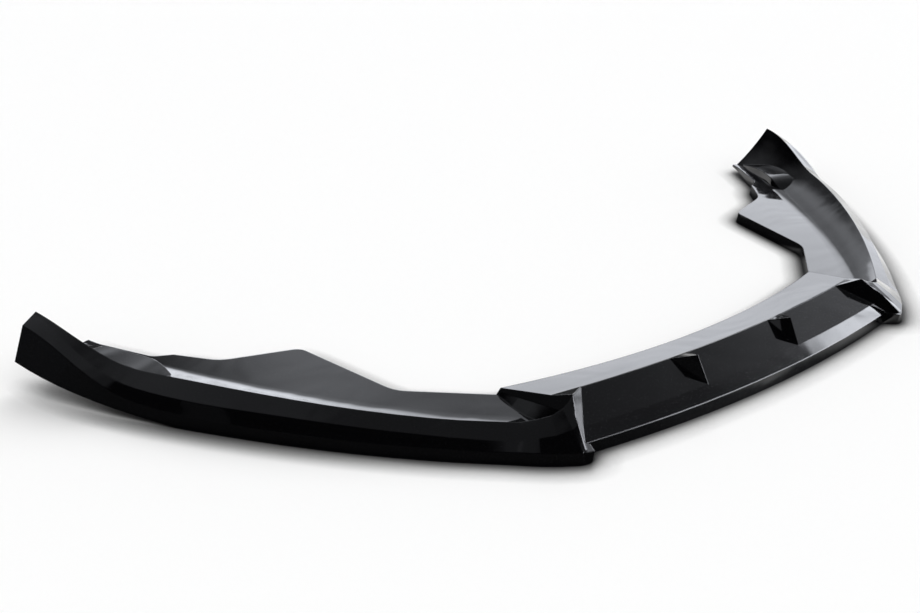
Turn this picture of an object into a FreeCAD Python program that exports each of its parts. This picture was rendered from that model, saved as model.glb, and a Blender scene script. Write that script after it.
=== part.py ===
import FreeCAD, Part
import math
import os

from FreeCAD import Placement, Rotation, Vector

# Front splitter lip: one vacuum-formed sheet, open underneath and at the arm ends.
# X is sideways, Y runs from the nose to the rear, Z is up and the floor is at 0. Millimetres.
# The sheet is an outer form less an inner form, both drawn by the same functions.

# Driving sizes
SIZES = {
    "sheet_thickness": 3.5,
    "wall_draft": 8.0,
    # Cross lines of the centre: place at the middle, and setback at bow_reach to the side
    "bow_reach": 366.0,
    "foot_place": -20.0,
    "foot_setback": 32.0,
    "edge_place": -14.0,
    "edge_setback": 28.5,
    "edge_height": 16.5,
    "crease_place": 8.5,
    "crease_setback": 26.8,
    "crease_height": 29.0,
    "rake_place": 64.0,
    "rake_setback": 28.3,
    "rake_height": 55.0,
    "rear_place": 134.0,
    "rear_setback": 50.0,
    "rear_height": 34.0,
    "rear_drop": 3.0,
    "front_top_slope": 0.41,
    # Fence: a flat wall through the peak, the rake corner and the tip
    "peak_across": 338.0,
    "peak_along": 58.5,
    "peak_height": 67.5,
    "fence_bearing": 49.5,
    "fence_lean": 25.7,
    "tip_across": 371.5,
    "tip_height": 20.0,
    "tip_foot_across": 363.5,
    "deck_corner_across": 366.0,
    "deck_corner_along": 184.0,
    "step_draft": 25.0,
    # Dish: the slacker lower half of the step, and how far it stands out at its middle
    "dish_share": 0.5,
    "dish_out": 13.0,
    # Fins on the raked face
    "fin_outer_across": 131.0,
    "fin_inner_across": 94.5,
    "fin_apex_across": 109.0,
    "fin_apex_along": 33.5,
    "fin_foot_across": 107.0,
    "fin_foot_along": 10.0,
    # Rim: what holds at the nose, at mid wing and at the arm end
    "hem_out_nose": 44.0,
    "hem_out_wing": 37.0,
    "hem_out_end": 50.0,
    "hem_lift": 41.0,
    "hem_lift_start": 0.57,
    "belt_height": 19.0,
    "belt_rise": 32.0,
    "belt_lean": 10.0,
    "belt_lean_end": 25.0,
    "shoulder_out_nose": 25.0,
    "shoulder_out_wing": 29.0,
    "shoulder_slope": 0.6,
    "ridge_height": 42.0,
    "ridge_rise": 18.0,
    "ridge_sweep": 45.0,
    "sweep_start": 0.70,
    "cove_width_nose": 28.0,
    "cove_width_wing": 63.0,
    "cove_width_end": 70.0,
    "cove_hollow": 0.80,
    "cove_hollow_end": 0.60,
    # Shelf, and the raised ledge along the foot of the cove
    "shelf_height": 21.0,
    "ledge_out": 73.0,
    "ledge_start": 0.70,
    "ledge_rise": 16.0,
    "ledge_fall": 13.0,
    "ledge_slope": 0.12,
    "ledge_draft": 14.0,
    # Tip: the small block ahead of the fence
    "tip_block_height": 19.0,
    # Arm: where the floor side starts to sweep up, and the bearing of its end cut
    "arm_trim_start": 610.0,
    "arm_trim_rise": 17.0,
    "arm_end_bearing": 70.7,
}

doc = FreeCAD.newDocument("SplitterLip")
sheet = doc.addObject("Spreadsheet::Sheet", "Sizes")
for row, (name, value) in enumerate(SIZES.items(), start=1):
    sheet.set("A%d" % row, name)
    sheet.set("B%d" % row, str(value))
    sheet.setAlias("B%d" % row, name)
doc.recompute()


class Values:
    def __getattr__(self, name):
        return float(getattr(sheet, name))


v = Values()
SHEET = v.sheet_thickness
DEEP = -40.0
BELOW = -10.0
HIGH = 160.0


def add(name, shape):
    item = doc.addObject("Part::Feature", name)
    item.Shape = shape
    return item


def join(kind, name, base, tool):
    """A fused or cut object of two earlier ones."""
    item = doc.addObject(kind, name)
    item.Base = base
    item.Tool = tool
    item.Refine = False
    return item


def mirror_of(source):
    """The same object on the left side."""
    item = doc.addObject("Part::Mirroring", source.Name + "Left")
    item.Source = source
    item.Normal = Vector(1, 0, 0)
    return item


def block(name, size, expressions):
    """A cutting box of one edge length, placed by the sheet's values."""
    item = doc.addObject("Part::Box", name)
    item.Length = item.Width = item.Height = size
    for path, expression in expressions:
        item.setExpression(path, expression)
    return item


def step(q, start, end):
    t = min(max((q - start) / (end - start), 0.0), 1.0)
    return t * t * (3.0 - 2.0 * t)


def beyond(point, normal, reach=1500.0):
    """A block that fills the side of a plane to which the normal points."""
    block = Part.makeBox(2 * reach, 2 * reach, reach, Vector(-reach, -reach, 0))
    block.Placement = Placement(point, Rotation(Vector(0, 0, 1), normal))
    return block


def inset(points, distance):
    """Moves every side of an open run of 2-D points to its right by the distance."""
    sides = []
    for a, b in zip(points[:-1], points[1:]):
        along = (b - a).normalize()
        right = Vector(along.y, -along.x, 0)
        sides.append((a + right * distance, along))
    moved = [sides[0][0]]
    for (a, u), (b, w) in zip(sides[:-1], sides[1:]):
        cross = u.x * w.y - u.y * w.x
        if abs(cross) < 0.02:
            moved.append(b)
        else:
            gap = b - a
            moved.append(a + u * ((gap.x * w.y - gap.y * w.x) / cross))
    last = points[-1] - points[-2]
    moved.append(sides[-1][0] + sides[-1][1] * last.Length)
    return moved


def down_to(upper, lower, level):
    """The point at the given level on the line through two 2-D points."""
    return lower + (lower - upper) * ((level - lower.y) / (lower.y - upper.y))


# Cross lines of the centre section
def bowed(place, setback, x):
    return place + setback * (x / v.bow_reach) ** 2


def centre_points(x):
    points = {}
    for name in ("foot", "edge", "crease", "rake", "rear"):
        y = bowed(getattr(v, name + "_place"), getattr(v, name + "_setback"), x)
        height = 0.0 if name == "foot" else getattr(v, name + "_height")
        points[name] = Vector(y, height, 0)
    points["rear"].y -= v.rear_drop * (x / v.bow_reach) ** 2
    return points


def across(profile, distance, reach):
    """Lofts a profile of (y, z) points sideways over the bowed centre."""
    sections = []
    for x in (-reach, -reach / 2, 0.0, reach / 2, reach):
        points = [Vector(x, p.x, p.y) for p in profile(centre_points(x), distance)]
        sections.append(Part.makePolygon(points + points[:1]))
    return Part.makeLoft(sections, True, False)


def deck_profile(p, distance):
    draft = math.tan(math.radians(v.wall_draft))
    front = p["crease"].x - 6.0
    fold = p["rake"] + (p["rear"] - p["rake"]) * 0.05
    run = [Vector(p["rear"].x + p["rear"].y * draft, 0, 0), p["rear"], fold,
           Vector(front, fold.y + v.front_top_slope * (fold.x - front), 0)]
    top = [Vector(a.x, a.y, 0) for a in run]
    if distance:
        top = inset(top, -distance)
    floor = DEEP if distance else BELOW
    rear = down_to(top[1], top[0], floor)
    return [rear] + top[1:3] + [down_to(top[2], top[3], top[3].y), Vector(front, floor, 0)]


def lip_profile(p, distance):
    run = [p["foot"], p["edge"], p["edge"] + (p["edge"] - p["foot"]) * 0.8]
    if distance:
        run = inset(run, distance)
    floor = DEEP if distance else BELOW
    back = p["crease"].x + 12.0
    foot = down_to(run[1], run[0], floor)
    return [foot, run[2], Vector(back, run[2].y, 0), Vector(back, floor, 0)]


def channel_profile(p, distance):
    ahead = p["edge"] + (p["edge"] - p["crease"]) * 1.5
    behind = p["rake"] + (p["rake"] - p["crease"]) * 0.8
    run = [ahead, p["crease"], behind]
    if distance:
        run = inset(run, distance)
    return run + [Vector(run[2].x, HIGH, 0), Vector(run[0].x, HIGH, 0)]


# Flat walls of the centre: fences, steps and fin sides
peak = Vector(v.peak_across, v.peak_along, v.peak_height)
bearing = math.radians(v.fence_bearing)
lean = math.radians(v.fence_lean)
fence_normal = Vector(math.cos(bearing) * math.cos(lean), math.sin(bearing) * math.cos(lean),
                      -math.sin(lean))


def on_fence(x, z):
    """The point of the fence plane at a place across and a height."""
    flat = fence_normal.dot(peak) - fence_normal.x * x - fence_normal.z * z
    return Vector(x, flat / fence_normal.y, z)


corner = centre_points(v.deck_corner_across)["rear"]
edge_run = Vector(v.deck_corner_across, v.deck_corner_along, corner.y) - peak
draft = math.radians(v.step_draft)
turn = math.atan2(edge_run.y, edge_run.x) - math.acos(
    -edge_run.z * math.tan(draft) / math.hypot(edge_run.x, edge_run.y))
step_normal = Vector(math.cos(draft) * math.cos(turn), math.cos(draft) * math.sin(turn),
                     math.sin(draft))


def mirrored(shape):
    return shape.mirror(Vector(0, 0, 0), Vector(1, 0, 0))


def both(shape):
    return [shape, mirrored(shape)]


def fin(distance):
    """The wedge of one fin between its two side walls."""
    top = Vector(v.fin_apex_across, v.fin_apex_along, 0)
    p = centre_points(v.fin_apex_across)
    top.z = p["rake"].y + v.front_top_slope * (p["rake"].x - top.y)
    foot = Vector(v.fin_foot_across, v.fin_foot_along, p["crease"].y)
    wedge = Part.makeBox(100, 120, HIGH, Vector(top.x - 50, -20, 0))
    for side in (v.fin_outer_across, v.fin_inner_across):
        base = Vector(side, p["rake"].x, p["rake"].y)
        normal = (top - base).cross(foot - base)
        normal.normalize()
        if normal.x * (side - top.x) < 0:
            normal = -normal
        wedge = wedge.cut(beyond(top - normal * distance, normal))
    return wedge


def channel(distance):
    cutter = across(channel_profile, distance, v.deck_corner_across * 1.15)
    wall = peak + fence_normal * distance
    for block in both(beyond(wall, fence_normal)):
        cutter = cutter.cut(block)
    for wedge in both(fin(distance)):
        cutter = cutter.cut(wedge)
    return cutter


def centre(distance):
    deck = across(deck_profile, distance, v.deck_corner_across * 1.15)
    for block in both(beyond(peak - step_normal * distance, step_normal)):
        deck = deck.cut(block)
    lip = across(lip_profile, distance, 354.0)
    return deck.fuse(lip).cut(channel(distance))


# Rim: the ridge seen from above, from the fence to the arm end
RIDGE_PLAN = ((417.0, 78.0), (562.0, 207.0), (737.0, 419.0), (837.0, 587.0), (875.5, 697.0))
ridge = Part.BSplineCurve()
ridge.interpolate([Vector(x, y, 0) for x, y in RIDGE_PLAN])
ridge_length = ridge.length()


def ridge_at(q):
    place = ridge.parameterAtDistance(ridge_length * min(q, 1.0))
    point = ridge.value(place)
    along = ridge.tangent(place)[0]
    point = point + along * (ridge_length * max(q - 1.0, 0.0))
    return point, Vector(along.y, -along.x, 0)


def three(q, start, middle, end, at):
    """A parabola through a start, a middle value at the given place and an end."""
    a = start * (q - at) * (q - 1.0) / at
    b = middle * q * (q - 1.0) / (at * (at - 1.0))
    c = end * q * (q - at) / (1.0 - at)
    return a + b + c


def wing_run(q):
    """Outline of the rim at one station: outward distance from the ridge, and height."""
    hem = three(q, v.hem_out_nose, v.hem_out_wing, v.hem_out_end, 0.45)
    lift = v.hem_lift * (max(q - v.hem_lift_start, 0.0) / (1.0 - v.hem_lift_start)) ** 1.3
    belt = v.belt_height + lift + v.belt_rise * step(q, v.sweep_start, v.sweep_start + 0.25)
    lean = v.belt_lean + (v.belt_lean_end - v.belt_lean) * step(q, v.sweep_start, 1.0)
    belt_out = hem - (belt - lift) * math.tan(math.radians(lean))
    top = v.ridge_height + v.ridge_rise * step(q, 0.0, 0.68)
    top += v.ridge_sweep * step(q, 0.72, 1.0)
    if q < 0.6:
        shoulder = v.shoulder_out_nose + (v.shoulder_out_wing - v.shoulder_out_nose) * (q / 0.6) ** 2
        shoulder -= 2.5 * math.sin(math.pi * q / 0.6)
    else:
        shoulder = v.shoulder_out_wing * (1.0 - (min(q - 0.6, 0.38) / 0.4) ** 1.7)
    cove = v.cove_width_nose + (v.cove_width_wing - v.cove_width_nose) * math.sin(
        math.pi / 2 * min(q / 0.65, 1.0))
    cove -= 9.0 * step(q, 0.65, 0.87)
    cove += (v.cove_width_end - v.cove_width_wing + 9.0) * step(q, 0.85, 1.0)
    hollow = v.cove_hollow + (v.cove_hollow_end - v.cove_hollow) * step(q, 0.65, 1.0)
    return rim_run(hem, lift, belt_out, belt, shoulder, top, cove, hollow)


def rim_run(hem, lift, belt_out, belt, shoulder, top, cove, hollow):
    shelf = v.shelf_height
    return [Vector(hem, lift, 0), Vector(belt_out, belt, 0),
            Vector(shoulder, top - v.shoulder_slope * shoulder, 0), Vector(0, top, 0),
            Vector(-0.48 * cove, top - (top - shelf) * hollow, 0),
            Vector(-cove - 4.0, shelf - 1.5, 0)]


def rim_wire(run, distance, place, outward):
    """One closed section of the rim; its cove is a single curve."""
    if distance:
        run = inset(run, -distance)
        hem = down_to(run[1], run[0], DEEP)
        base = run[5] - Vector(4.0, 1.0, 0)
        foot = Vector(base.x, DEEP, 0)
        run = [hem] + run[1:5] + [base]
    else:
        run = [down_to(run[1], run[0], run[0].y - 1.0)] + run[1:]
        foot = Vector(run[5].x, BELOW, 0)
    points = [place + outward * p.x + Vector(0, 0, p.y) for p in run + [foot]]
    return closed_section(points)


def closed_section(p):
    cove = Part.BezierCurve()
    cove.setPoles([p[3], p[4], p[5]])
    edges = [Part.makeLine(p[0], p[1]), Part.makeLine(p[1], p[2]), Part.makeLine(p[2], p[3]),
             cove.toShape(), Part.makeLine(p[5], p[6]), Part.makeLine(p[6], p[0])]
    return Part.Wire(edges)


# Nose stations: ridge place and height, bearing of the section, hem, shoulder and cove distances
NOSE = ((349.0, 54.5, 61.5, -75.6, 65.5, 31.0, 42.0),
        (362.0, 52.0, 57.0, -77.9, 61.5, 30.0, 42.0),
        (380.0, 54.5, 51.0, -66.4, 51.5, 27.0, 38.0),
        (398.0, 64.5, 46.5, -58.0, 47.5, 25.5, 32.0))


def fence_section(distance):
    """The first section, which lies in the fence."""
    foot = on_fence(v.tip_foot_across, 0)
    tip = on_fence(v.tip_across, v.tip_height)
    fall = Vector(-math.cos(bearing), -math.sin(bearing), 0) * math.tan(lean) - Vector(0, 0, 1)
    side = fence_normal.cross(fall)
    side.normalize()
    up = side.cross(fence_normal)
    up.normalize()
    if up.z < 0:
        up = -up
    if side.y > 0:
        side = -side
    flat = [Vector((p - peak).dot(side), (p - peak).dot(up), 0) for p in (foot, tip, peak)]
    run = [flat[0], flat[1], (flat[1] + flat[2]) * 0.5 + Vector(0.3, 0.5, 0), flat[2],
           Vector(-8.0, -26.0, 0), Vector(-22.0, -48.0, 0)]
    level = -peak.z / up.z
    if distance:
        run = inset(run, -distance)
        run = [down_to(run[1], run[0], level + DEEP)] + run[1:5] + [run[5] - Vector(4, 0, 0)]
        level += DEEP
    else:
        run[0] = down_to(run[1], run[0], level - 1.0)
        level += BELOW
    run.append(Vector(run[5].x, level, 0))
    return closed_section([peak + side * p.x + up * p.y for p in run])


def rim(distance):
    """The nose is a ruled fan of sections and the wing a smooth loft."""
    wires = [fence_section(distance)]
    belt_in = v.belt_height * math.tan(math.radians(v.belt_lean))
    for x, y, top, turn, hem, shoulder, cove in NOSE:
        outward = Vector(math.cos(math.radians(turn)), math.sin(math.radians(turn)), 0)
        run = rim_run(hem, 0.0, hem - belt_in, v.belt_height, shoulder, top, cove, v.cove_hollow)
        wires.append(rim_wire(run, distance, Vector(x, y, 0), outward))
    for q in (0.0, 0.1, 0.2, 0.33, 0.46, 0.58, 0.68, 0.75, 0.81, 0.87, 0.93, 1.0, 1.05):
        place, outward = ridge_at(q)
        wires.append(rim_wire(wing_run(q), distance, place, outward))
    fan = wires[:len(NOSE) + 2]
    wing = wires[len(NOSE) + 1:]
    nose = Part.makeLoft(fan, True, True)
    nose = nose.cut(beyond(peak + fence_normal * distance, -fence_normal))
    return nose.fuse(Part.makeLoft(wing, True, False))


# Shelf: rear outline from the deck to the arm as corners with their radii
SHELF_REAR = ((335.0, 153.0, 0.0), (487.0, 286.0, 60.0), (533.0, 491.0, 22.0), (655.0, 530.0, 60.0),
              (705.0, 592.0, 5.0), (735.0, 606.0, 30.0), (788.0, 700.0, 90.0), (816.0, 780.0, 0.0))


def rounded(corners, radii):
    """Edges of an open run of corners, each with its arc."""
    edges = []
    last = corners[0]
    for a, b, c, radius in zip(corners[:-2], corners[1:-1], corners[2:], radii[1:-1]):
        back = (a - b).normalize()
        ahead = (c - b).normalize()
        half = back.getAngle(ahead) / 2
        reach = radius / math.tan(half)
        middle = b + (back + ahead).normalize() * (radius / math.sin(half) - radius)
        edges.append(Part.makeLine(last, b + back * reach))
        edges.append(Part.Arc(b + back * reach, middle, b + ahead * reach).toShape())
        last = b + ahead * reach
    edges.append(Part.makeLine(last, corners[-1]))
    return edges


def shelf_outline(outward, level):
    """The rear edge, then back to the nose under the foot of the cove."""
    flat = [Vector(x, y, 0) for x, y, radius in SHELF_REAR]
    radii = [radius for x, y, radius in SHELF_REAR]
    for i in range(1, len(flat) - 1):
        turn = (flat[i] - flat[i - 1]).cross(flat[i + 1] - flat[i]).z
        radii[i] = max(radii[i] - math.copysign(outward, turn), 1.0)
    p = [Vector(a.x, a.y, level) for a in inset(flat, -outward)]
    edges = rounded(p, radii)
    under = []
    for q in (1.1, 1.0, 0.9, 0.75, 0.6, 0.45, 0.3, 0.15, 0.0):
        place, side = ridge_at(q)
        width = -wing_run(min(q, 1.0))[5].x - 16.0 + outward * 0.5
        under.append(place - side * width + Vector(0, 0, level))
    curve = Part.BSplineCurve()
    curve.interpolate(under)
    corner = Vector(335.0 + outward * 0.2, 84.0, level)
    edges += [Part.makeLine(p[-1], under[0]), curve.toShape(), Part.makeLine(under[-1], corner),
              Part.makeLine(corner, p[0])]
    return Part.Wire(edges)


def shelf(distance):
    """The shelf block, whose walls flare outwards to the floor."""
    level = v.shelf_height - distance
    floor = DEEP if distance else BELOW
    flare = (level - floor) * math.tan(math.radians(v.wall_draft))
    return Part.makeLoft([shelf_outline(-distance, level), shelf_outline(flare - distance, floor)],
                         True, True)


# Ledge: the raised strip beside the arm, between the foot of the cove and the shelf
def ledge(distance):
    """Its steep wall rises out of the shelf, and its top runs under the cove."""
    wires = []
    for q in (0.69, 0.73, 0.77, 0.82, 0.88, 0.94, 1.0, 1.05):
        place, outward = ridge_at(q)
        growth = step(q, v.ledge_start, v.ledge_start + 0.09)
        top = v.shelf_height - 1.5 + (v.ledge_rise + 1.5) * growth
        top -= v.ledge_fall * step(q, 0.86, 1.02)
        edge = -v.ledge_out + 12.0 * (1.0 - step(q, 0.69, 0.77)) + 6.0 * step(q, 0.93, 1.0)
        fall = math.tan(math.radians(v.ledge_draft))
        run = [Vector(edge + 45.0, top + 45.0 * v.ledge_slope, 0), Vector(edge, top, 0),
               Vector(edge - 20.0 * fall, top - 20.0, 0)]
        level = BELOW
        if distance:
            run = inset(run, -distance)
            level = DEEP
        run[2] = down_to(run[1], run[2], level)
        run.append(Vector(run[0].x, level, 0))
        points = [place + outward * p.x + Vector(0, 0, p.y) for p in run]
        wires.append(Part.makePolygon(points + points[:1]))
    return Part.makeLoft(wires, True, False)


# Dish: the lower half of the step leans out into the shelf, most at its middle
def dish(distance):
    """A run of wedges against the step; each foot stands out from the wall by its share."""
    wires = []
    fall = math.tan(math.radians(v.step_draft))
    shelf_top = v.shelf_height - 1.0
    for place, share in ((0.02, 0.15), (0.3, 0.8), (0.55, 1.0), (0.78, 0.55), (0.98, 0.15)):
        crown = peak + edge_run * (1.0 - place)
        across_out = Vector(step_normal.x, step_normal.y, 0).normalize()
        rise = max(crown.z - shelf_top, 6.0)
        waist = v.dish_share * rise
        run = [Vector((rise - waist) * fall - 20.0, shelf_top + waist, 0),
               Vector((rise - waist) * fall, shelf_top + waist, 0),
               Vector(rise * fall + v.dish_out * share, shelf_top, 0)]
        level = BELOW
        if distance:
            run = inset(run, distance)
            level = DEEP
        run[2] = down_to(run[1], run[2], level)
        run.append(Vector(run[0].x, level, 0))
        base = Vector(crown.x, crown.y, 0)
        points = [base + across_out * p.x + Vector(0, 0, p.y) for p in run]
        wires.append(Part.makePolygon(points + points[:1]))
    return Part.makeLoft(wires, True, True)


# Tip: corners of the small block ahead of the fence, on the floor and at its top
TIP_FOOT = ((339.0, 9.0), (359.0, -8.5), (366.5, -9.5), (379.0, -4.5), (362.0, 34.0))
TIP_TOP = ((351.0, 5.0), (358.0, -11.5), (369.0, -8.0), (375.5, -2.5), (364.0, 30.0))


def tip(distance):
    """A block with a flat top, drawn on below the floor."""
    level = v.tip_block_height - distance
    foot = [Vector(x, y, 0) for x, y in TIP_FOOT]
    top = [Vector(x, y, v.tip_block_height) for x, y in TIP_TOP]
    floor = DEEP if distance else BELOW
    rings = []
    for height in (floor, level):
        share = height / v.tip_block_height
        ring = [a + (b - a) * share for a, b in zip(foot, top)]
        flat = [Vector(p.x, p.y, 0) for p in ring]
        if distance:
            flat = inset([flat[-1]] + flat + flat[:2], -distance)[1:-2]
        ring = [Vector(p.x, p.y, height) for p in flat]
        rings.append(Part.makePolygon(ring + ring[:1]))
    return Part.makeLoft(rings, True, True)


# The whole lip: outer form less inner form
def form(name, distance):
    whole = add(name + "Centre", centre(distance))
    pieces = [add(name + label, maker(distance))
              for label, maker in (("Rim", rim), ("Shelf", shelf), ("Ledge", ledge), ("Dish", dish),
                                   ("Tip", tip))]
    for piece in pieces + [mirror_of(piece) for piece in pieces]:
        whole = join("Part::Fuse", "With" + piece.Name, whole, piece)
    return whole


outer = form("Outer", 0.0)
inner = form("Inner", SHEET)
body = join("Part::Cut", "Shell", outer, inner)

# Trims: the floor, the sweep of the hem under the arms, and the ends of the arms
REACH = 3000.0
end = ridge_at(1.0)[0]
floor_trim = block("FloorTrim", REACH, (
    ("Placement.Base.x", "-Length / 2"),
    ("Placement.Base.y", "-Width / 2"),
    ("Placement.Base.z", "-Height")))
arm_rise = "atan(Sizes.arm_trim_rise / 120)"
arm_trim = block("ArmTrim", REACH, (
    ("Placement.Rotation.Angle", arm_rise),
    ("Placement.Base.x", "-Length / 2"),
    ("Placement.Base.y", "Sizes.arm_trim_start * 1 mm + Height * sin(%s)" % arm_rise),
    ("Placement.Base.z", "-Height * cos(%s)" % arm_rise)))
arm_trim.Placement.Rotation.Axis = Vector(1, 0, 0)
arm_end = block("ArmEnd", REACH, (
    ("Placement.Rotation.Angle", "Sizes.arm_end_bearing"),
    ("Placement.Base.x", "%r mm + Width / 2 * sin(Sizes.arm_end_bearing)" % end.x),
    ("Placement.Base.y", "%r mm - Width / 2 * cos(Sizes.arm_end_bearing)" % end.y),
    ("Placement.Base.z", "-Height / 2")))
arm_end.Placement.Rotation.Axis = Vector(0, 0, 1)
for cutter in (arm_end, mirror_of(arm_end), arm_trim, floor_trim):
    body = join("Part::Cut", "After" + cutter.Name, body, cutter)
lip = body
lip.Label = "splitter_lip"
doc.recompute()

# The origin goes to the middle of the footprint, on the floor
box = lip.Shape.optimalBoundingBox(False, False)
lip.Placement = Placement(Vector(0, -(box.YMin + box.YMax) / 2, 0), Rotation())
doc.recompute()
for item in doc.Objects:
    if "Invalid" in item.State or "Error" in item.State:
        raise RuntimeError("failed: " + item.Label)
    if hasattr(item, "Shape") and (item.Shape.isNull() or not item.Shape.isValid()):
        raise RuntimeError("not sound: " + item.Label)
if len(lip.Shape.Solids) != 1:
    raise RuntimeError("the lip is not one solid")

os.makedirs("parts", exist_ok=True)
lip.Shape.exportStep("parts/splitter_lip.step")
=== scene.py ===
import math

import bpy
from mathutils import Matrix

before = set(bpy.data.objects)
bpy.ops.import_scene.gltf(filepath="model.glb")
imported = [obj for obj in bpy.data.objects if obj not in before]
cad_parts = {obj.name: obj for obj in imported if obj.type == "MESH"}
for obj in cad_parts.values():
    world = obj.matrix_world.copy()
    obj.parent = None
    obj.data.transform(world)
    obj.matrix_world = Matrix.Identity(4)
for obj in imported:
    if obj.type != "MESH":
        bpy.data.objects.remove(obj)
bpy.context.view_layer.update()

scene = bpy.context.scene


# Camera: it stands ahead of the left wing at chest height and looks down along the nose,
# with the level horizon and the field of view of the photograph.
focal_pixels = 1050.0
picture_width = 920.0
film_width = 36.0
camera_turn = math.radians(36.62)
camera_tilt = math.radians(25.08)

camera_data = bpy.data.cameras.new("camera")
camera_data.sensor_width = film_width
camera_data.lens = film_width * focal_pixels / picture_width
camera = bpy.data.objects.new("camera", camera_data)
camera.location = (-1.2235, -1.2218, 0.799)
camera.rotation_euler = (math.pi / 2 - camera_tilt, 0.0, -camera_turn)
scene.collection.objects.link(camera)
scene.camera = camera


# Splitter lip: one vacuum-formed sheet of gloss black ABS, 3.5 mm thick, trimmed at its edges.
# It keeps the solid's shape. The film side keeps the rolled sheet's mirror gloss; the mould side,
# seen from below, is a duller grey-black.
def linear(hex_colour, alpha=1.0):
    """An sRGB hex colour as the linear values that a shader takes."""
    parts = []
    for i in (0, 2, 4):
        c = int(hex_colour[i:i + 2], 16) / 255.0
        parts.append(c / 12.92 if c <= 0.04045 else ((c + 0.055) / 1.055) ** 2.4)
    return (*parts, alpha)


def add_node(tree, kind, settings=None, links=None):
    """Adds a node with its settings and links, each link as input: output socket."""
    node = tree.nodes.new(kind)
    for name, value in (settings or {}).items():
        if isinstance(name, int) or name in node.inputs:
            node.inputs[name].default_value = value
        else:
            setattr(node, name, value)
    for name, socket in (links or {}).items():
        tree.links.new(socket, node.inputs[name])
    return node


# Gloss black ABS gives near black with a clear, slightly broken mirror.
abs_sheet = bpy.data.materials.new("gloss_black_abs_sheet")
abs_sheet.use_nodes = True
tree = abs_sheet.node_tree
gloss = tree.nodes["Principled BSDF"]
gloss.inputs["Base Color"].default_value = linear("040405")
gloss.inputs["IOR"].default_value = 1.5
place = add_node(tree, "ShaderNodeTexCoord")
axes = add_node(tree, "ShaderNodeSeparateXYZ", None, {"Vector": place.outputs["Object"]})
facing = add_node(tree, "ShaderNodeNewGeometry")
upright = add_node(tree, "ShaderNodeSeparateXYZ", None, {"Vector": facing.outputs["True Normal"]})

# Rounded edges: the sheet bends over each mould edge with a radius of about 2 mm, which gives the
# thin bright lines along the ridges, the fences, the fins and the lip.
edge_radius = 0.0022
rounded = add_node(tree, "ShaderNodeBevel", {"samples": 6, "Radius": edge_radius})

# Where each wing rises out of the level shelf the sheet sweeps up in a soft cove. The solid has
# the wide part of it, and its last 15 mm, where it runs out on the shelf, are drawn here. Their
# foot follows a curve in plan, the same on both sides: y = start + slope t + bend t^2, with t
# counted outwards from x = 0.449.
cove_start_x, cove_start_y = 0.449, -0.1805
cove_slope, cove_bend = 1.02, 1.325
cove_foot, cove_full = 0.006, -0.02
cove_rise = 0.0019
shelf_top_z, shelf_tolerance = 0.021, 0.002
shelf_inner_x = 0.385
level_limit = 0.97

side = add_node(tree, "ShaderNodeMath", {"operation": "ABSOLUTE"}, {0: axes.outputs["X"]})
along = add_node(tree, "ShaderNodeMath", {"operation": "SUBTRACT", 1: cove_start_x},
                 {0: side.outputs[0]})
slope = add_node(tree, "ShaderNodeMath",
                 {"operation": "MULTIPLY_ADD", 1: cove_bend, 2: cove_slope},
                 {0: along.outputs[0]})
curve = add_node(tree, "ShaderNodeMath", {"operation": "MULTIPLY_ADD", 2: cove_start_y},
                 {0: along.outputs[0], 1: slope.outputs[0]})
clear = add_node(tree, "ShaderNodeMath", {"operation": "SUBTRACT"},
                 {0: axes.outputs["Y"], 1: curve.outputs[0]})
near = add_node(tree, "ShaderNodeMapRange",
                {"clamp": False, "From Min": cove_full, "From Max": cove_foot,
                 "To Min": 1.0, "To Max": 0.0}, {"Value": clear.outputs[0]})
rising = add_node(tree, "ShaderNodeMath", {"operation": "MAXIMUM", 1: 0.0}, {0: near.outputs[0]})
sweep = add_node(tree, "ShaderNodeMath", {"operation": "POWER", 1: 2.0}, {0: rising.outputs[0]})

# It is drawn on the level top of the shelf alone, outboard of the deck.
cove_area = add_node(tree, "ShaderNodeMath",
                     {"operation": "COMPARE", 1: shelf_top_z, 2: shelf_tolerance},
                     {0: axes.outputs["Z"]})
for socket, limit in ((upright.outputs["Z"], level_limit), (side.outputs[0], shelf_inner_x)):
    past_limit = add_node(tree, "ShaderNodeMath", {"operation": "GREATER_THAN", 1: limit},
                          {0: socket})
    cove_area = add_node(tree, "ShaderNodeMath", {"operation": "MULTIPLY"},
                         {0: cove_area.outputs[0], 1: past_limit.outputs[0]})
cove = add_node(tree, "ShaderNodeBump", {"Distance": cove_rise},
                {"Strength": cove_area.outputs[0], "Height": sweep.outputs[0],
                 "Normal": rounded.outputs["Normal"]})

# Long soft waves, 110 to 170 mm apart with weaker ones between, and under a millimetre high, left
# where the hot sheet stretched and cooled: they pull the reflections into cloudy streaks.
stretched = add_node(tree, "ShaderNodeMapping", {"Scale": (6.0, 9.0, 9.0)},
                     {"Vector": place.outputs["Object"]})
long_waves = add_node(tree, "ShaderNodeTexNoise",
                      {"Scale": 1.0, "Detail": 2.0, "Roughness": 0.45, "Distortion": 0.6},
                      {"Vector": stretched.outputs["Vector"]})
waves = add_node(tree, "ShaderNodeBump", {"Strength": 1.0, "Distance": 0.002},
                 {"Height": long_waves.outputs[0], "Normal": cove.outputs["Normal"]})

# Orange peel of the rolled sheet: dimples 2 to 3 mm across, drawn at 5 mm to show at this size.
peel = add_node(tree, "ShaderNodeTexNoise", {"Scale": 200.0, "Detail": 1.0},
                {"Vector": place.outputs["Object"]})
peeled = add_node(tree, "ShaderNodeBump", {"Strength": 1.0, "Distance": 0.000008},
                  {"Height": peel.outputs[0], "Normal": waves.outputs["Normal"]})
tree.links.new(peeled.outputs["Normal"], gloss.inputs["Normal"])

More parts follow.
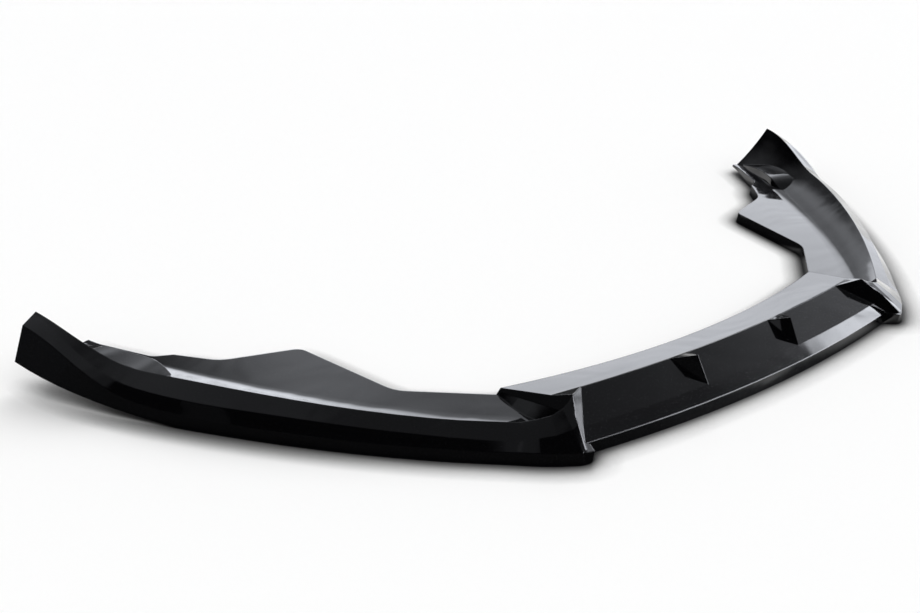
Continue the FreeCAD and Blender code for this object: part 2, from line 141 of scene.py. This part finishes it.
# Handling haze: fine rubbed patches a few centimetres across and single dust specks, about 1 mm,
# that turn the mirror a little satin.
haze = add_node(tree, "ShaderNodeTexNoise", {"Scale": 28.0, "Detail": 6.0, "Roughness": 0.6},
                {"Vector": place.outputs["Object"]})
rubbed = add_node(tree, "ShaderNodeMapRange",
                  {"From Min": 0.4, "From Max": 0.75, "To Min": 0.035, "To Max": 0.11},
                  {"Value": haze.outputs[0]})
specks = add_node(tree, "ShaderNodeTexNoise", {"Scale": 900.0, "Detail": 0.0},
                  {"Vector": place.outputs["Object"]})
dust = add_node(tree, "ShaderNodeMapRange",
                {"From Min": 0.72, "From Max": 0.8, "To Min": 0.0, "To Max": 0.25},
                {"Value": specks.outputs[0]})
film_side = add_node(tree, "ShaderNodeMath", {"operation": "ADD"},
                     {0: rubbed.outputs[0], 1: dust.outputs[0]})

# The mould side faces down: it took the grain of the mould, so it is satin.
mould_roughness = 0.42
mould_side = add_node(tree, "ShaderNodeMapRange",
                      {"From Min": -0.3, "From Max": -0.15, "To Min": mould_roughness,
                       "To Max": 0.0}, {"Value": upright.outputs["Z"]})
satin = add_node(tree, "ShaderNodeMath", {"operation": "MAXIMUM"},
                 {0: film_side.outputs[0], 1: mould_side.outputs[0]})
tree.links.new(satin.outputs[0], gloss.inputs["Roughness"])

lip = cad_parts["splitter_lip"]
lip.data.materials.clear()
lip.data.materials.append(abs_sheet)


# Studio floor: a plain matt white sheet that the lip lies on. A soft contact shadow is painted
# into its
# own colour. For glossy rays alone its colour carries painted light and shade, fitted to the
# photograph:
# white on the right, and painted shade to the left and in the bay behind the nose.
bpy.ops.object.select_all(action="DESELECT")
bpy.ops.mesh.primitive_plane_add(size=40.0, location=(0, 0, 0))
floor = bpy.context.object
floor.name = "floor"
floor_paint = bpy.data.materials.new("studio_floor")
floor_paint.use_nodes = True
tree = floor_paint.node_tree
paint = tree.nodes["Principled BSDF"]
paint.inputs["Roughness"].default_value = 0.9
paint.inputs["Specular IOR Level"].default_value = 0.1
place = add_node(tree, "ShaderNodeTexCoord")
axes = add_node(tree, "ShaderNodeSeparateXYZ", None, {"Vector": place.outputs["Object"]})
path = add_node(tree, "ShaderNodeLightPath")

# In the bay the edge of the painted light steps to the right, from the deck back to a slanting
# line.
bay_step = 0.5
bay_start = add_node(tree, "ShaderNodeMapRange",
                     {"From Min": -0.05, "From Max": 0.05, "To Min": 0.0, "To Max": bay_step},
                     {"Value": axes.outputs["Y"]})
bay_back = add_node(tree, "ShaderNodeMath", {"operation": "MULTIPLY_ADD", 1: -0.5},
                    {0: axes.outputs["X"], 2: axes.outputs["Y"]})
bay_end = add_node(tree, "ShaderNodeMapRange",
                   {"From Min": -0.033, "From Max": -0.008, "To Min": -1.0, "To Max": 0.0},
                   {"Value": bay_back.outputs[0]})
lit_side = add_node(tree, "ShaderNodeMath", {"operation": "MULTIPLY_ADD"},
                    {0: bay_start.outputs[0], 1: bay_end.outputs[0], 2: axes.outputs["X"]})
# Painted shade: for glossy rays alone the floor's colour falls from white to near black towards
# the left.
falloff = add_node(tree, "ShaderNodeMapRange",
                   {"interpolation_type": "SMOOTHSTEP", "From Min": 0.15, "From Max": 0.34,
                    "To Min": 0.03, "To Max": 1.0}, {"Value": lit_side.outputs[0]})
painted_glossy_shade = add_node(tree, "ShaderNodeMix", {"data_type": "FLOAT", "A": 1.0},
                {"Factor": path.outputs["Is Glossy Ray"], "B": falloff.outputs["Result"]})

# Just beside the lip the floor is shut off from the light. The lamp's own shadow is too weak
# there, so ambient occlusion draws a short, dense contact shadow into the floor's colour.
contact_reach = 0.045
shut_off = add_node(tree, "ShaderNodeAmbientOcclusion", {"samples": 12, "Distance": contact_reach})
contact = add_node(tree, "ShaderNodeMath", {"operation": "POWER", 1: 5.0},
                   {0: shut_off.outputs["AO"]})
open_floor = add_node(tree, "ShaderNodeMath", {"operation": "MULTIPLY"},
                      {0: painted_glossy_shade.outputs[0], 1: contact.outputs[0]})
white = add_node(tree, "ShaderNodeMix",
                 {"data_type": "RGBA", 6: (0, 0, 0, 1), 7: linear("fcfcfc")},
                 {"Factor": open_floor.outputs[0]})
tree.links.new(white.outputs[2], paint.inputs["Base Color"])

# Painted light: on the far right the floor glows for glossy rays alone, brighter than plain white,
# as if it lay under the side strip. The line where that starts runs back and to the right.
strip_share = 0.55
beyond_nose = add_node(tree, "ShaderNodeMapRange",
                       {"From Min": -0.1, "From Max": 1.9, "To Min": 0.0, "To Max": -4.0},
                       {"Value": axes.outputs["Y"]})
strip_way = add_node(tree, "ShaderNodeMath", {"operation": "MAXIMUM", 1: -2.0},
                     {0: beyond_nose.outputs[0]})
to_strip = add_node(tree, "ShaderNodeMath", {"operation": "ADD"},
                    {0: axes.outputs["X"], 1: strip_way.outputs[0]})
strip_side = add_node(tree, "ShaderNodeMapRange",
                      {"From Min": 0.45, "From Max": 0.6, "To Min": 0.0, "To Max": strip_share},
                      {"Value": to_strip.outputs[0]})
painted_strip_glow = add_node(tree, "ShaderNodeMath", {"operation": "MULTIPLY"},
                     {0: strip_side.outputs[0], 1: path.outputs["Is Glossy Ray"]})
paint.inputs["Emission Color"].default_value = (1, 1, 1, 1)
tree.links.new(painted_strip_glow.outputs[0], paint.inputs["Emission Strength"])
floor.data.materials.append(floor_paint)


# Studio light: a plain white dome and one large soft lamp, at the back right and at 38 degrees
# of height, light all that is matt. Glossy rays see another studio: a dim dome, soft panels behind
# the lip, two strips on the right far brighter than white, and no light behind the camera.
bpy.ops.object.light_add(type="SUN", location=(2.0, 1.0, 3.0))
lamp = bpy.context.object
lamp.name = "soft_lamp"
lamp.rotation_euler = (math.radians(52), 0.0, math.radians(135))
lamp.data.energy = 1.43
lamp.data.angle = math.radians(32)
lamp.visible_glossy = False
studio = bpy.data.worlds.new("studio")
studio.use_nodes = True
tree = studio.node_tree
tree.nodes.clear()

# Where a ray goes, in degrees: its bearing, from straight behind the lip round to the right, and
# its height above the floor.
ray = add_node(tree, "ShaderNodeTexCoord")
axes = add_node(tree, "ShaderNodeSeparateXYZ", None, {"Vector": ray.outputs["Generated"]})
turned = add_node(tree, "ShaderNodeMath", {"operation": "ARCTAN2"},
                  {0: axes.outputs["X"], 1: axes.outputs["Y"]})
raised = add_node(tree, "ShaderNodeMath", {"operation": "ARCSINE"}, {0: axes.outputs["Z"]})
bearing = add_node(tree, "ShaderNodeMath", {"operation": "DEGREES"}, {0: turned.outputs[0]})
height = add_node(tree, "ShaderNodeMath", {"operation": "DEGREES"}, {0: raised.outputs[0]})
# How far a steep ray leans away from the unlit side.
lean = add_node(tree, "ShaderNodeMath", {"operation": "MULTIPLY_ADD", 1: 0.5},
                {0: axes.outputs["X"], 2: axes.outputs["Y"]})

# Each panel is the product of soft steps at its sides, and each step says along what it goes,
# where it starts and ends, and its level at either end, where 1 is white. They were set
# for the photograph's camera: from behind and low, the level faces mirror the strips as white.
dome_sides = ((bearing, 29, 37, 1.0, 0.75), (bearing, 60, 85, 1.0, 1.05),
              (bearing, 96, 106, 1.0, 0.55), (height, 25, 66, 1.0, 0.0))
panels = {
    "dome, left": ((bearing, -15, 5, 0.0, 0.16), *dome_sides),
    "dome, right": ((bearing, 17, 28, 0.0, 0.9), *dome_sides),
    "horizon": ((bearing, 14, 25, 0.0, 1.0), (bearing, 28, 36, 1.9, 1.15),
                (bearing, 100, 120, 1.0, 0.0), (height, 9, 17, 1.0, 0.0)),
    "back screen": ((bearing, 40, 52, 0.0, 1.95), (bearing, 62, 80, 1.0, 0.0),
                    (height, 8, 16, 0.0, 1.0), (height, 24, 40, 1.0, 0.0)),
    "side strip": ((bearing, 92, 96, 0.0, 7.5), (bearing, 108, 112, 1.0, 0.0),
                   (height, -3, 3, 0.0, 1.0), (height, 34, 38, 1.0, 0.0)),
    "tall strip": ((bearing, 108, 112, 0.0, 9.0), (bearing, 145, 155, 1.0, 0.0),
                   (height, 4, 9, 0.0, 1.0), (height, 43, 48, 1.0, 0.0)),
    "left wall": ((bearing, -90, -75, 0.0, 0.055), (bearing, -50, -35, 1.0, 0.0),
                  (height, 15, 25, 1.0, 0.0)),
    "high behind": ((bearing, -70, -50, 0.0, 0.11), (bearing, 5, 20, 1.0, 0.0),
                    (height, 38, 48, 0.0, 1.0)),
    "screen behind": ((bearing, -65, -20, 0.0, 0.3), (bearing, -10, 25, 1.0, 0.0),
                      (height, 30, 46, 0.0, 1.0), (height, 48, 68, 1.0, 0.0)),
    "ceiling": ((lean, -0.22, -0.08, 0.0, 1.0), (height, 46, 62, 0.0, 0.16)),
}
studio_level = None
for steps in panels.values():
    panel = None
    for measure, start, end, low, high in steps:
        step = add_node(tree, "ShaderNodeMapRange",
                        {"interpolation_type": "SMOOTHSTEP", "From Min": start,
                         "From Max": end, "To Min": low, "To Max": high},
                        {"Value": measure.outputs[0]})
        panel = step if panel is None else add_node(
            tree, "ShaderNodeMath", {"operation": "MULTIPLY"},
            {0: panel.outputs[0], 1: step.outputs[0]})
    studio_level = panel if studio_level is None else add_node(
        tree, "ShaderNodeMath", {"operation": "ADD"},
        {0: studio_level.outputs[0], 1: panel.outputs[0]})

# The camera sees plain white, and what lights matt surfaces is a little under it, because the
# lamp adds to it there. The gloss sees the studio, a little bluer.
dome_share = 0.73
path = add_node(tree, "ShaderNodeLightPath")
plain = add_node(tree, "ShaderNodeMix", {"data_type": "FLOAT", "A": 1.0, "B": dome_share},
                 {"Factor": path.outputs["Is Diffuse Ray"]})
level = add_node(tree, "ShaderNodeMix", {"data_type": "FLOAT"},
                 {"Factor": path.outputs["Is Glossy Ray"], "A": plain.outputs[0],
                  "B": studio_level.outputs[0]})
tint = add_node(tree, "ShaderNodeMix",
                {"data_type": "RGBA", 6: (1, 1, 1, 1), 7: (0.96, 0.99, 1.06, 1)},
                {"Factor": path.outputs["Is Glossy Ray"]})
glow = add_node(tree, "ShaderNodeBackground", None,
                {"Strength": level.outputs[0], "Color": tint.outputs[2]})
add_node(tree, "ShaderNodeOutputWorld", None, {"Surface": glow.outputs[0]})
scene.world = studio
scene.view_settings.view_transform = "Standard"
